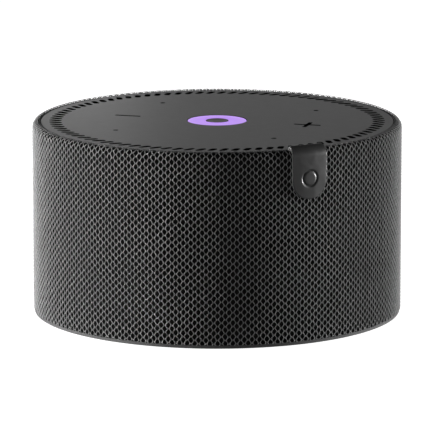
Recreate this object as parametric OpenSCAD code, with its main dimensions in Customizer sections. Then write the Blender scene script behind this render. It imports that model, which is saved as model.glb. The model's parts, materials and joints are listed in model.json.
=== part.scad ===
// Round smart home hub: a cloth-wrapped cylinder with a slotted touch plate on top,
// a glowing ring, an upward-firing speaker in a closed chamber and a socket panel at the back.
// Origin at the centre of the base, +Z up, the front looks along -Y. Millimetres.

/* [Body] */
// Outer diameter over the cloth
body_d = 98; // [97:0.5:101]
// Height from the table to the top of the plate
body_h = 51.4; // [51:0.2:54]
// Thickness of the cloth sleeve
cloth_t = 1.1; // [0.8:0.1:1.1]
// Radius of the cloth where it rolls over the shoulder
shoulder_r = 1.7; // [1.4:0.1:1.9]

/* [Top plate] */
// Diameter of the top plate
plate_d = 93.6; // [93.2:0.2:94]
// Thickness of the top plate
plate_t = 1.8; // [1.6:0.1:2]
// Number of slanted sound slots in the ring
slot_count = 90; // [60:1:96]
// Width of a sound slot
slot_w = 1.6; // [0.8:0.1:1.6]
// Slant of a sound slot away from the radius, in degrees
slot_slant = 30; // [0:5:40]
// Distance of the minus and plus marks from the centre
mark_x = 24.8; // [22:0.2:26]
// Length of the bars of the minus and plus marks
mark_len = 7.2; // [5:0.2:8]
// Diameter of the microphone holes
mic_hole_d = 1.4; // [0.8:0.1:1.5]

/* [Light ring] */
// Outer diameter of the glowing ring
light_d = 15.6; // [14:0.2:17]
// Diameter of the dark centre of the ring
centre_d = 6; // [4:0.2:8]

/* [Tag] */
// Width of the tag
tag_w = 10; // [8:0.5:12]
// How far the tag hangs below the top of the plate
tag_drop = 12.7; // [11:0.1:16]
// Direction of the tag, in degrees anticlockwise from +X
tag_angle = -45.5; // [-80:0.5:-30]

/* [Back panel] */
// Width of the socket panel
panel_w = 36; // [34:1:38]
// Height of the centre line of the sockets
socket_z = 8.9; // [8.8:0.1:9.1]

/* [Speaker] */
// Diameter of the speaker's flange
driver_d = 60; // [60:1:64]
// Furthest that the cone moves each way
cone_travel = 2; // [1:0.5:2]

/* [Hidden] */
$fn = 96;

eps = 0.01;
gap = 0.1;           // clearance between pieces that only touch
cut = 1;             // how far a cutter runs past a face

// Radii, from the cloth inwards
body_r = body_d / 2;
plate_r = plate_d / 2;
cloth_in = body_r - cloth_t;
shell_r = cloth_in - gap;
shell_t = 1.6;
shell_in = shell_r - shell_t;
tuck_r = plate_r + 0.35;          // inner edge of the cloth beside the plate

// Levels, from the table upwards
foot_h = 1;
base_z = 0.4;                     // underside of the base rim
base_t = 2.2;
floor_z = base_z + base_t;        // top of the base's floor
rim_h = 0.9;                      // the part of the base rim that shows
board_z = 5;
board_t = 1.6;
board_top = board_z + board_t;
chamber_z = 12.2;
chamber_top = 38;
chamber_t = 1.8;
chamber_r = 36;

// Levels, from the plate downwards
plate_z = body_h - plate_t;       // underside of the plate
touch_t = 1.2;
touch_gap = 1.6;                  // from the touch board to the plate
touch_z = plate_z - touch_gap - touch_t;
rib_t = 1.8;
rib_z = plate_z - touch_gap - rib_t;
shell_top = plate_z - 2.5;
cloth_top = body_h + 0.2;         // the cloth's edge stands just above the plate

// Slots, marks and light
slot_in = 41.2;
slot_out = 44.6;
slot_phase = 0.4;
mark_w = 1.1;
mark_depth = 0.4;
mic_ring = 30.4;
quarters = [45, 135, 225, 315];    // the four diagonals, where screws and microphones sit
light_r = light_d / 2;
centre_r = centre_d / 2;
light_t = 1.4;
touch_r = 36;
led_count = 6;
led_ring = 5.4;

// Tag
tag_t = 0.9;
tag_off = 0.15;
tag_bend = shoulder_r + tag_off;
tag_leg = plate_r + 0.08 + tag_t;  // cloth side of the end that is tucked in beside the plate
tag_end_z = plate_z - 0.6;

// Back panel
panel_h = 9.4;
panel_corner = 1.8;
panel_z0 = 3.9;
panel_wall = 2;
recess_y = 45.4;
recess_w = panel_w - 6;
recess_h = 7.2;
usb_x = -9;
jack_x = 2;
slider_x = 10.5;
slider_travel = 2;
jack_r = 1.8;
jack_len = 14;
usb_w = 8.94;
usb_h = 3.26;
usb_depth = 7.4;

// Screws
leg_ring = 31;
frame_ring = 38.6;
touch_screw_ring = 21;

// Speaker, in its own frame: z = 0 is the underside of the flange
gasket_t = 0.6;
driver_z = chamber_top + gasket_t;
flange_t = 1.2;
flange_in = 25;
driver_r = driver_d / 2;
driver_screw_ring = driver_r - 1.8;
pole_r = 9.3;
coil_in = 9.95;
coil_out = 10.1;
winding_r = 10.5;
washer_in = 10.85;
cone_r = 21.8;
ledge_z = -10.9;                  // the ledge in the basket that holds the spider
lead_x = -30.5;
lead_r = 0.5;
lead_gap = 2.6;                   // between the two leads' centre lines

// ---------- helpers ----------

// Points on an arc, from one angle to another
function arc(cx, cy, r, from, to, steps) =
    [for (i = [0:steps]) let (a = from + (to - from) * i / steps) [cx + r * cos(a), cy + r * sin(a)]];

module tube(r_out, r_in, z0, z1) {
    translate([0, 0, z0])
        difference() {
            cylinder(r = r_out, h = z1 - z0);
            translate([0, 0, -cut]) cylinder(r = r_in, h = z1 - z0 + 2 * cut);
        }
}

module disc(r, z0, z1) {
    translate([0, 0, z0]) cylinder(r = r, h = z1 - z0);
}

// Copies children to angles on a ring
module on_ring(radius, angles) {
    for (a = angles) rotate([0, 0, a]) translate([radius, 0, 0]) children();
}

// Box centred on x and y, standing on z0
module block(size, at) {
    translate([at[0] - size[0] / 2, at[1] - size[1] / 2, at[2]]) cube(size);
}

// Flat shape in X and Z, pushed through along +Y from y0 to y1
module through_y(y0, y1) {
    translate([0, y1, 0]) rotate([90, 0, 0]) linear_extrude(height = y1 - y0) children();
}

module round_rect(w, h, r) {
    x = w / 2 - r;
    y = h / 2 - r;
    polygon(concat(arc(x, y, r, 0, 90, 5), arc(-x, y, r, 90, 180, 5),
                   arc(-x, -y, r, 180, 270, 5), arc(x, -y, r, 270, 360, 5)));
}

// Plain screw: a round head below a shank that points up
module screw_up(head_r, head_h, shank_r, shank_h) {
    difference() {
        translate([0, 0, -head_h]) cylinder(r = head_r, h = head_h);
        translate([0, 0, -head_h - eps]) cylinder(r = head_r * 0.5, h = head_h * 0.6, $fn = 6);
    }
    cylinder(r = shank_r, h = shank_h);
}

module screw_down(head_r, head_h, shank_r, shank_h) {
    mirror([0, 0, 1]) screw_up(head_r, head_h, shank_r, shank_h);
}

// ---------- top ----------

// Outline of one slanted slot with round ends, along +X before it is turned
module slot_outline() {
    mid = (slot_in + slot_out) / 2;
    half = (slot_out - slot_in - slot_w) / 2 / cos(slot_slant);
    translate([mid, 0])
        rotate(-slot_slant)
            polygon(concat(arc(half, 0, slot_w / 2, -90, 90, 4), arc(-half, 0, slot_w / 2, 90, 270, 4)));
}

module bar_mark(len, wid) {
    block([len, wid, mark_depth + cut], [0, 0, body_h - mark_depth]);
}

module top_plate() {
    chamfer = 0.4;
    boss_h = 1.6;
    color([0.2, 0.2, 0.205])
        difference() {
            union() {
                rotate_extrude()
                    polygon([[0, plate_z], [plate_r, plate_z], [plate_r, body_h - chamfer],
                             [plate_r - chamfer, body_h], [0, body_h]]);
                on_ring(touch_screw_ring, quarters) disc(2.2, plate_z - boss_h, plate_z);
                on_ring(frame_ring, quarters) disc(1.9, plate_z - boss_h, plate_z);
            }
            translate([0, 0, plate_z - cut])
                linear_extrude(height = plate_t + 2 * cut)
                    for (i = [0:slot_count - 1])
                        rotate(i * 360 / slot_count + slot_phase) slot_outline();
            disc(light_r + 0.15, plate_z - cut, body_h + cut);
            translate([-mark_x, 0, 0]) bar_mark(mark_len, mark_w);
            translate([mark_x, 0, 0]) bar_mark(mark_len, mark_w);
            translate([mark_x, 0, 0]) bar_mark(mark_w, mark_len);
            on_ring(mic_ring, quarters) disc(mic_hole_d / 2, plate_z - cut, body_h + cut);
            on_ring(touch_screw_ring, quarters) disc(0.85, plate_z - boss_h - cut, plate_z + 0.6);
            on_ring(frame_ring, quarters) disc(0.85, plate_z - boss_h - cut, plate_z + 0.6);
        }
}

module light_ring() {
    color([0.76, 0.6, 0.98])
        tube(light_r, centre_r + 0.1, body_h - light_t, body_h);
}

module centre_cap() {
    color([0.2, 0.2, 0.205])
        disc(centre_r, body_h - light_t, body_h);
}

module light_guide() {
    color([0.92, 0.92, 0.95]) {
        tube(light_r + 0.8, 2.4, touch_z + touch_t + 0.9, plate_z - 0.05);
        tube(light_r, 2.4, plate_z - 0.05 - eps, body_h - light_t - 0.05);
    }
}

module light_shroud() {
    color([0.08, 0.08, 0.08])
        tube(light_r + 1.8, light_r + 1, touch_z + touch_t, plate_z);
}

module slot_mesh() {
    color([0.05, 0.05, 0.05])
        tube(slot_out + 0.15, slot_in - 0.4, plate_z - 0.3, plate_z);
}

module top_frame() {
    rib_w = 5;
    color([0.12, 0.12, 0.12])
        difference() {
            union() {
                tube(shell_r, shell_in - 1.4, shell_top, plate_z - 0.8);
                tube(tuck_r - 0.4, shell_in - 1.4, plate_z - 0.8, plate_z);
                tube(shell_in - gap, shell_in - 1.4, rib_z, shell_top);
                intersection() {
                    tube(shell_in - 1, touch_r + 0.6, rib_z, rib_z + rib_t);
                    for (a = [45, 135])
                        rotate([0, 0, a]) block([2 * body_r, rib_w, 4], [0, 0, rib_z - 1]);
                }
            }
            on_ring(frame_ring, quarters) disc(1.1, rib_z - cut, rib_z + 3);
        }
}

module frame_screws() {
    color([0.6, 0.6, 0.62])
        on_ring(frame_ring, quarters)
            translate([0, 0, rib_z]) screw_up(1.7, 1, 0.8, 3.8);
}

// ---------- touch board ----------

module touch_board() {
    color([0.06, 0.2, 0.12])
        difference() {
            disc(touch_r, touch_z, touch_z + touch_t);
            on_ring(mic_ring, quarters) disc(0.5, touch_z - cut, touch_z + touch_t + cut);
            on_ring(touch_screw_ring, quarters) disc(1.1, touch_z - cut, touch_z + touch_t + cut);
        }
}

module board_screws() {
    color([0.6, 0.6, 0.62])
        on_ring(touch_screw_ring, quarters)
            translate([0, 0, touch_z]) screw_up(1.8, 0.9, 0.8, 3.2);
}

module touch_pads() {
    color([0.75, 0.6, 0.3])
        for (x = [-mark_x, mark_x])
            translate([x, 0, 0]) disc(5, touch_z + touch_t, plate_z - 0.05);
}

module leds() {
    color([0.95, 0.95, 0.9])
        on_ring(led_ring, [for (i = [0:led_count - 1]) i * 360 / led_count])
            block([1.6, 1.6, 0.8], [0, 0, touch_z + touch_t]);
}

module microphones() {
    color([0.75, 0.75, 0.77])
        on_ring(mic_ring, quarters) block([2.7, 3.5, 1], [0, 0, touch_z - 1]);
}

module mic_gaskets() {
    color([0.1, 0.1, 0.1])
        on_ring(mic_ring, quarters) tube(2.2, 0.8, touch_z + touch_t, plate_z);
}

// ---------- cloth, tag and shell ----------

module panel_window(grow) {
    through_y(body_r - 8, body_r + 2)
        translate([0, panel_z0 + panel_h / 2])
            round_rect(panel_w + 2 * grow, panel_h + 2 * grow, panel_corner + grow);
}

module fabric_sleeve() {
    bottom = base_z + rim_h;
    top_in = cloth_top - cloth_t;
    turn = body_r - shoulder_r;
    color([0.2, 0.2, 0.2])
        difference() {
            rotate_extrude()
                polygon(concat([[cloth_in, bottom], [body_r, bottom]],
                               arc(turn, cloth_top - shoulder_r, shoulder_r, 0, 90, 8),
                               [[tuck_r, cloth_top], [tuck_r, top_in]],
                               [[turn, top_in]],
                               [[cloth_in, top_in - shoulder_r + cloth_t]]));
            panel_window(0.2);
            rotate([0, 0, tag_angle])
                intersection() {
                    tube(tag_leg + gap, plate_r, tag_end_z, cloth_top + cut);
                    block([10, tag_w + 0.4, cloth_top + cut], [body_r, 0, 0]);
                }
        }
}

// Strap profile in radius and height: up the outside, over the shoulder and down beside the plate
module tag_profile() {
    turn = body_r - shoulder_r;
    z = cloth_top - shoulder_r;
    low = body_h - tag_drop;
    outer = tag_bend + tag_t;
    out_turn = acos((tag_leg - turn) / outer);
    in_turn = acos((tag_leg - turn) / tag_bend);
    polygon(concat([[body_r + tag_off, low], [body_r + tag_off + tag_t, low]],
                   arc(turn, z, outer, 0, out_turn, 10),
                   arc(tag_leg, z + outer * sin(out_turn) - tag_t, tag_t, 90, 180, 5),
                   [[tag_leg - tag_t, tag_end_z], [tag_leg, tag_end_z]],
                   arc(turn, z, tag_bend, in_turn, 0, 8)));
}

module tag() {
    low = body_h - tag_drop;
    r = tag_w / 2;
    ring_r = 2.3;
    mark_z = low + r + 0.4;
    color([0.22, 0.22, 0.225])
        rotate([0, 0, tag_angle])
            difference() {
                intersection() {
                    rotate([0, 0, -10]) rotate_extrude(angle = 20) tag_profile();
                    rotate([90, 0, 90])
                        linear_extrude(height = body_r + 5)
                            union() {
                                translate([0, low + r]) circle(r = r);
                                translate([-r, low + r]) square([2 * r, tag_drop]);
                            }
                }
                translate([body_r + tag_off + tag_t - 0.3, 0, mark_z])
                    rotate([0, 90, 0])
                        difference() {
                            cylinder(r = ring_r, h = 2);
                            translate([0, 0, -cut]) cylinder(r = ring_r - 0.6, h = 2 + 2 * cut);
                        }
            }
}

module grille_shell() {
    window_count = 18;
    window_w = 11;
    row_z = [15.5, 31.5];
    row_h = 12.5;
    color([0.09, 0.09, 0.09])
        difference() {
            tube(shell_r, shell_in, floor_z, shell_top);
            for (i = [0:window_count / 2 - 1], z = row_z)
                rotate([0, 0, (i + 0.5) * 360 / window_count])
                    block([2 * body_r + 2, window_w, row_h], [0, 0, z]);
            block([panel_w + 0.4, 20, panel_z0 + panel_h + 0.3], [0, body_r - 6, 0]);
        }
}

// ---------- base ----------

module base_cover() {
    color([0.16, 0.16, 0.165])
        difference() {
            union() {
                disc(body_r - 0.25, base_z, base_z + rim_h);
                disc(shell_r, base_z + rim_h - eps, floor_z);
                tube(shell_in - gap, shell_in - 1.7, floor_z - eps, floor_z + 3);
                on_ring(leg_ring, quarters) disc(3.2, floor_z - eps, board_z);
            }
            disc(43.1, base_z - cut, foot_h);
            block([panel_w + 0.4, 20, 4], [0, body_r - 6, floor_z]);
            on_ring(leg_ring, quarters) {
                disc(1.2, 0, board_z + cut);
                disc(2.4, 0, foot_h + 1);
            }
        }
}

module rubber_foot() {
    groove_w = 1;
    groove_d = 0.3;
    color([0.07, 0.07, 0.07])
        difference() {
            disc(43, 0, foot_h);
            for (r = [30, 34, 38]) tube(r + groove_w, r, -cut, groove_d);
        }
}

module base_screws() {
    color([0.55, 0.55, 0.57])
        on_ring(leg_ring, quarters)
            translate([0, 0, foot_h + 1]) screw_up(2.2, 0.9, 1, board_top + 4 - foot_h - 1);
}

// ---------- back panel ----------

module io_panel() {
    color([0.1, 0.1, 0.1])
        difference() {
            intersection() {
                through_y(recess_y - panel_wall, body_r)
                    translate([0, panel_z0 + panel_h / 2]) round_rect(panel_w, panel_h, 1.8);
                disc(body_r - 0.2, 0, body_h);
            }
            through_y(recess_y, body_r + cut)
                translate([0, socket_z]) round_rect(recess_w, recess_h, 1.4);
            through_y(recess_y - panel_wall - cut, recess_y + cut)
                translate([usb_x, socket_z]) round_rect(usb_w + 0.3, usb_h + 0.3, (usb_h + 0.3) / 2 - eps);
            translate([jack_x, 0, socket_z]) rotate([-90, 0, 0]) cylinder(r = 2.9, h = body_r);
            block([4 + slider_travel, 10, 1.8], [slider_x + slider_travel / 2, recess_y, socket_z - 0.9]);
        }
}

module usb_shell() {
    wall = 0.3;
    color([0.7, 0.7, 0.72])
        difference() {
            through_y(recess_y - usb_depth, recess_y - 0.1)
                translate([usb_x, socket_z]) round_rect(usb_w, usb_h, usb_h / 2 - eps);
            through_y(recess_y - usb_depth + 0.5, recess_y + cut)
                translate([usb_x, socket_z])
                    round_rect(usb_w - 2 * wall, usb_h - 2 * wall, usb_h / 2 - wall - eps);
        }
}

module usb_housing() {
    tongue_w = 6.6;
    tongue_t = 0.7;
    under = socket_z - usb_h / 2;
    color([0.1, 0.1, 0.1]) {
        translate([usb_x - tongue_w / 2, recess_y - usb_depth + 0.5, socket_z - tongue_t / 2])
            cube([tongue_w, usb_depth - 1.8, tongue_t]);
        block([7, 6, under - board_top], [usb_x, 38.6, board_top]);
    }
}

module audio_jack() {
    body_w = 6;
    top = 12;
    color([0.12, 0.12, 0.12])
        difference() {
            union() {
                translate([jack_x - body_w / 2, recess_y - panel_wall - jack_len, board_top])
                    cube([body_w, jack_len - 0.1, top - board_top]);
                translate([jack_x, recess_y - panel_wall - 1, socket_z])
                    rotate([-90, 0, 0]) cylinder(r = 2.75, h = panel_wall + 1);
            }
            translate([jack_x, recess_y - jack_len, socket_z])
                rotate([-90, 0, 0]) cylinder(r = jack_r, h = jack_len + cut);
        }
}

module mute_switch() {
    x = slider_x + slider_travel / 2;
    y = recess_y - panel_wall - 1.7;
    slit_h = 1.6;
    color([0.65, 0.65, 0.67])
        difference() {
            block([8, 3, 4], [x, y, board_top]);
            block([3 + slider_travel, 3, slit_h], [x, y + 0.9, socket_z - slit_h / 2]);
        }
}

module mute_slider() {
    grip_w = 3.2;
    color([0.75, 0.25, 0.1]) {
        block([2.4, panel_wall + 1.6, 1], [slider_x, recess_y - panel_wall / 2 + 0.1, socket_z - 0.5]);
        difference() {
            block([grip_w, 1.3, 1.4], [slider_x, recess_y + 0.95, socket_z - 0.7]);
            for (dx = [-0.9, 0, 0.9])
                block([0.35, 0.4, 3], [slider_x + dx, recess_y + 1.6, socket_z - 1.5]);
        }
    }
}

// ---------- speaker ----------

module speaker_chamber() {
    color([0.14, 0.14, 0.145])
        difference() {
            union() {
                tube(chamber_r, chamber_r - chamber_t, chamber_z, chamber_top);
                disc(chamber_r, chamber_z, chamber_z + 1.6);
                tube(chamber_r, flange_in + 1.2, chamber_top - 4, chamber_top);
                on_ring(leg_ring, quarters) disc(2.8, board_top, chamber_z + eps);
            }
            on_ring(leg_ring, quarters) disc(1.05, board_top - cut, board_top + 5);
            on_ring(driver_screw_ring, quarters) disc(0.95, chamber_top - 3.6, chamber_top + cut);
            translate([-30.5, 0, 0]) disc(2.6, chamber_z - cut, chamber_z + 3);
        }
}

module driver_gasket() {
    color([0.05, 0.05, 0.05])
        difference() {
            tube(driver_r, flange_in + 1.2, chamber_top, driver_z);
            on_ring(driver_screw_ring, quarters) disc(1.1, chamber_top - cut, driver_z + cut);
        }
}

module driver_basket() {
    color([0.25, 0.25, 0.26])
        translate([0, 0, driver_z])
            difference() {
                union() {
                    tube(driver_r, flange_in, 0, flange_t);
                    tube(20.4, 11.6, -14, -12.8);
                    rotate_extrude()
                        polygon([[19.2, -12.8], [20.4, -12.8], [flange_in + 1.1, 0], [flange_in + 1.1, 0.4],
                                 [flange_in, 0.4], [flange_in - 0.1, 0]]);
                    tube(20.6, 18.9, ledge_z - 0.7, ledge_z);
                }
                for (a = [0, 60, 120])
                    rotate([0, 0, a + 30]) block([60, 9, 7], [0, 0, -9.6]);
                on_ring(driver_screw_ring, quarters) disc(1.1, -cut, flange_t + cut);
            }
}

module yoke() {
    color([0.62, 0.62, 0.64])
        translate([0, 0, driver_z]) {
            disc(18.5, -23.6, -21);
            disc(pole_r, -21 - eps, -14);
        }
}

module magnet() {
    color([0.3, 0.3, 0.32])
        translate([0, 0, driver_z]) tube(18, 13, -21, -17);
}

module front_washer() {
    color([0.62, 0.62, 0.64])
        translate([0, 0, driver_z]) tube(19, washer_in, -17, -14);
}

module magnet_pad() {
    color([0.15, 0.15, 0.16])
        disc(13, chamber_z + 1.6, driver_z - 23.6);
}

module voice_coil() {
    color([0.75, 0.45, 0.25])
        translate([0, 0, driver_z]) {
            tube(coil_out, coil_in, -18.5, -7.6);
            tube(winding_r, coil_out - eps, -17.6, -13.4);
        }
}

module cone() {
    color([0.12, 0.12, 0.13])
        translate([0, 0, driver_z])
            rotate_extrude()
                polygon([[coil_out, -8.6], [11, -8.6], [12.4, -7.6], [cone_r - 1.1, flange_t - 1],
                         [cone_r, flange_t - 1], [cone_r, flange_t - 0.5], [cone_r - 1.4, flange_t - 0.5],
                         [12.1, -7], [coil_out, -7]]);
}

// Shallow dome over the coil, glued to the cone's neck
module dust_cap() {
    dome_r = 11.4;
    dome_h = 3.4;
    t = 0.4;
    foot = -7;
    sphere_r = (dome_r * dome_r + dome_h * dome_h) / (2 * dome_h);
    centre_z = foot + dome_h - sphere_r;
    out_turn = asin(dome_r / sphere_r);
    in_turn = acos((foot - centre_z) / (sphere_r - t));
    steps = 10;
    color([0.08, 0.08, 0.09])
        translate([0, 0, driver_z])
            rotate_extrude()
                polygon(concat([for (i = [0:steps]) let (a = out_turn * i / steps)
                                    [sphere_r * sin(a), centre_z + sphere_r * cos(a)]],
                               [for (i = [steps:-1:0]) let (a = in_turn * i / steps)
                                    [(sphere_r - t) * sin(a), centre_z + (sphere_r - t) * cos(a)]]));
}

// Half-round roll between the cone's edge and the flange
module surround() {
    mid = (cone_r + flange_in) / 2;
    roll = (flange_in - cone_r) / 2;
    t = 0.4;
    low = flange_t + gap / 2;
    glued_in = cone_r - 1.2;      // the lip that is glued onto the cone's rim
    glued_low = low - 0.45;
    color([0.06, 0.06, 0.06])
        translate([0, 0, driver_z])
            rotate_extrude()
                polygon(concat([[flange_in + 1.5, low], [flange_in + 1.5, low + t]],
                               arc(mid, low + t / 2, roll + t / 2, 0, 180, 10),
                               [[glued_in, low + t / 2], [glued_in, glued_low], [cone_r, glued_low]],
                               arc(mid, low, roll - t / 2, 180, 0, 10)));
}

// Corrugated disc that centres the coil
module spider() {
    r0 = coil_out + gap / 2;
    r1 = 18.7;
    z = ledge_z + gap / 2;
    t = 0.35;
    wave_h = 0.5;
    waves = 4;
    steps = 32;
    rim_r = 19.9;
    wave = [for (i = [0:steps]) [r0 + (r1 - r0) * i / steps, z + wave_h * sin(waves * 360 * i / steps)]];
    color([0.85, 0.6, 0.25])
        translate([0, 0, driver_z])
            rotate_extrude()
                polygon(concat(wave, [[rim_r, z], [rim_r, z + t]],
                               [for (i = [steps:-1:0]) wave[i] + [0, t]]));
}

module terminal_lugs() {
    color([0.8, 0.7, 0.4])
        for (y = [-lead_gap / 2, lead_gap / 2])
            block([4, 1.6, 0.5], [-25.8, y, driver_z - 8]);
}

module speaker_leads() {
    top = driver_z - 7.75;
    color([0.7, 0.1, 0.1])
        for (y = [-lead_gap / 2, lead_gap / 2])
            translate([lead_x, y, 0]) {
                disc(lead_r, board_top + 3, top);
                translate([0, 0, top]) sphere(r = lead_r, $fn = 24);
                translate([0, 0, top]) rotate([0, 90, 0]) cylinder(r = lead_r, h = -27.85 - lead_x);
            }
}

module lead_grommet() {
    color([0.08, 0.08, 0.08])
        translate([lead_x, 0, 0])
            difference() {
                disc(2.55, chamber_z, chamber_z + 2.2);
                for (y = [-lead_gap / 2, lead_gap / 2])
                    translate([0, y, 0]) disc(lead_r + 0.05, chamber_z - cut, chamber_z + 3.4);
            }
}

module lead_socket() {
    color([0.9, 0.88, 0.8])
        block([4, 6, 3], [lead_x, 0, board_top]);
}

module driver_screws() {
    color([0.5, 0.5, 0.52])
        on_ring(driver_screw_ring, quarters)
            translate([0, 0, driver_z + flange_t]) screw_down(1.6, 1, 0.85, 4.6);
}

// ---------- main board ----------

module main_board() {
    color([0.05, 0.18, 0.12])
        difference() {
            disc(41, board_z, board_top);
            on_ring(leg_ring, quarters) disc(1.2, board_z - cut, board_top + cut);
            block([8, 20, 4], [34 + 8, 0, board_z - cut]);
        }
}

module processor() {
    color([0.06, 0.06, 0.06]) block([12, 12, 1.1], [0, 0, board_top]);
}

module thermal_pad() {
    color([0.6, 0.62, 0.7]) block([12, 12, 0.5], [0, 0, board_top + 1.1]);
}

module heat_sink() {
    fin_count = 7;
    fin_t = 0.9;
    fin_h = 2.4;
    size = 20;
    plate = 1;
    z = board_top + 1.6;
    pitch = (size - fin_t) / (fin_count - 1);
    color([0.7, 0.7, 0.72]) {
        block([size, size, plate], [0, 0, z]);
        for (i = [0:fin_count - 1])
            block([fin_t, size, fin_h], [(fin_t - size) / 2 + i * pitch, 0, z + plate - eps]);
    }
}

module memory_chip() {
    color([0.06, 0.06, 0.06]) block([9, 11, 1], [18, -8, board_top]);
}

module wifi_shield() {
    color([0.75, 0.75, 0.77])
        difference() {
            block([16, 13, 2.2], [-4, -24, board_top]);
            block([15.4, 12.4, 2.2], [-4, -24, board_top - 0.3]);
        }
}

module amplifier_chip() {
    color([0.06, 0.06, 0.06]) block([6, 6, 1], [-18, 4, board_top]);
}

module inductor() {
    color([0.2, 0.2, 0.2]) block([6, 6, 3], [-17, 14, board_top]);
}

module capacitors() {
    color([0.75, 0.72, 0.7])
        for (at = [[-8, 22], [18, 12], [24, 4]])
            translate([at[0], at[1], 0]) disc(2.5, board_top, board_top + 5);
}

module flex_sockets() {
    color([0.9, 0.88, 0.8]) {
        block([3, 12, 1.2], [36.2, 0, board_top]);
        block([3, 12, 1.2], [33, 0, touch_z - 1.2]);
    }
}

// Flat cable between the two boards, outside the chamber
module flex_cable() {
    t = 0.2;
    w = 9;
    x = 38;
    low = board_top + 0.6;
    high = touch_z - 0.6;
    color([0.85, 0.5, 0.15])
        through_y(-w / 2, w / 2)
            polygon([[37.7, low], [x + 2.2, low], [x + 2.2, high], [34.5, high], [34.5, high - t],
                     [x + 2.2 - t, high - t], [x + 2.2 - t, low + t], [37.7, low + t]]);
}

module antennas() {
    color([0.8, 0.55, 0.2])
        for (a = [60, 180])
            rotate([0, 0, a])
                rotate_extrude(angle = 24)
                    translate([shell_in - 0.35, 28.6]) square([0.3, 2.6]);
}

top_plate();
light_ring();
centre_cap();
fabric_sleeve();
tag();
base_cover();
grille_shell();
top_frame();
rubber_foot();
io_panel();
usb_shell();
usb_housing();
audio_jack();
mute_switch();
mute_slider();
slot_mesh();
touch_board();
touch_pads();
leds();
light_guide();
light_shroud();
microphones();
mic_gaskets();
flex_cable();
flex_sockets();
speaker_chamber();
driver_gasket();
driver_basket();
yoke();
magnet();
front_washer();
voice_coil();
cone();
dust_cap();
surround();
spider();
terminal_lugs();
magnet_pad();
speaker_leads();
lead_grommet();
lead_socket();
main_board();
processor();
thermal_pad();
heat_sink();
memory_chip();
wifi_shield();
amplifier_chip();
inductor();
capacitors();
antennas();
base_screws();
driver_screws();
frame_screws();
board_screws();
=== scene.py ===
import json
import math

import bmesh
import bpy
import numpy as np
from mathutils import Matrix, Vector, geometry


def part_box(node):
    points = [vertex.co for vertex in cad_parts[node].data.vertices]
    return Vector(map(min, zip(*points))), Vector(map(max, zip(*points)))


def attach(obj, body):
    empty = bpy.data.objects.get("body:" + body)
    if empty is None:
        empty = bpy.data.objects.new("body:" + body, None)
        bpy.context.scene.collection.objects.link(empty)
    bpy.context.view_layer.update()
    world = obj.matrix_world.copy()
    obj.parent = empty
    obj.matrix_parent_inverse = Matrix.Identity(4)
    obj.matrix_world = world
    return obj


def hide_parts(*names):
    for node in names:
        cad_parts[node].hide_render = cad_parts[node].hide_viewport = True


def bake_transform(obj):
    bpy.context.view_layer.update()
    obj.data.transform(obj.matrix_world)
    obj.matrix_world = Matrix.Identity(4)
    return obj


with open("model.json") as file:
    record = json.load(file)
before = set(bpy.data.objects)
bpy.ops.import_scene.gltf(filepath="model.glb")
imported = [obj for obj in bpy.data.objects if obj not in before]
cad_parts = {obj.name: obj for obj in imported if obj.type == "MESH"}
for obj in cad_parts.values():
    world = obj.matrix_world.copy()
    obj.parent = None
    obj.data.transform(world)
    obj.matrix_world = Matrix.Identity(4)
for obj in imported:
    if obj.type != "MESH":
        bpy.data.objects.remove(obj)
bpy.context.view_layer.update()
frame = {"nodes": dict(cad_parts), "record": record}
MM = 0.001
TURN = 2 * math.pi


# ---------- places, from the frame ----------

sleeve_low, sleeve_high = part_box("fabric_sleeve")
plate_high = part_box("top_plate")[1]
ring_low, ring_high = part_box("light_ring")
cap_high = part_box("centre_cap")[1]
tag_low, tag_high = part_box("tag")
panel_low, panel_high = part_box("io_panel")

BODY_R = sleeve_high.y
CLOTH_Z0 = sleeve_low.z
CLOTH_TOP = sleeve_high.z
PLATE_R = plate_high.x
PLATE_TOP = plate_high.z
PLATE_T = 1.8 * MM
LIGHT_R = ring_high.x
CENTRE_R = cap_high.x
SHOULDER_R = 1.7 * MM          # rounding of the cloth's upper edge
TUCK_R = PLATE_R + 0.35 * MM   # where the cloth goes down beside the plate
TAG_ANGLE = math.radians(-45.5)
TAG_W = 10 * MM
TAG_T = 0.9 * MM
TAG_OFF = 0.15 * MM            # gap between the cloth and the tag
SHARP = 35                     # degrees between two faces from which an edge stays sharp


# ---------- mesh helpers ----------

def piece(name, vertices, faces, smooth=True):
    """A mesh object from vertices in metres and faces."""
    mesh = bpy.data.meshes.new(name)
    mesh.from_pydata([tuple(v) for v in vertices], [], [tuple(f) for f in faces])
    mesh.update()
    if smooth:
        mesh.shade_smooth()
    ob = bpy.data.objects.new(name, mesh)
    bpy.context.scene.collection.objects.link(ob)
    return ob


def sharpen(ob, degrees=SHARP):
    """Leaves sharp each edge whose faces meet at more than that angle."""
    ob.data.set_sharp_from_angle(angle=math.radians(degrees))


def mended(ob, weld=0.0, tiny=0.0):
    """Welds points closer than weld, drops faces smaller than tiny, and turns all faces outwards."""
    work = bmesh.new()
    work.from_mesh(ob.data)
    if weld:
        bmesh.ops.remove_doubles(work, verts=work.verts, dist=weld)
    if tiny:
        bmesh.ops.dissolve_degenerate(work, dist=tiny, edges=work.edges)
    bmesh.ops.recalc_face_normals(work, faces=work.faces)
    work.to_mesh(ob.data)
    work.free()
    return ob


def copied(node, name, flat_within=0.0):
    """A smooth copy of a CAD node's mesh, with faces that lie within that angle of each other merged."""
    ob = piece(name, [], [])
    work = bmesh.new()
    work.from_mesh(frame["nodes"][node].data)
    bmesh.ops.remove_doubles(work, verts=work.verts, dist=1e-6)
    if flat_within:
        bmesh.ops.dissolve_limit(work, angle_limit=flat_within, verts=work.verts, edges=work.edges)
    work.to_mesh(ob.data)
    work.free()
    ob.data.shade_smooth()
    sharpen(ob)
    return ob


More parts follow.
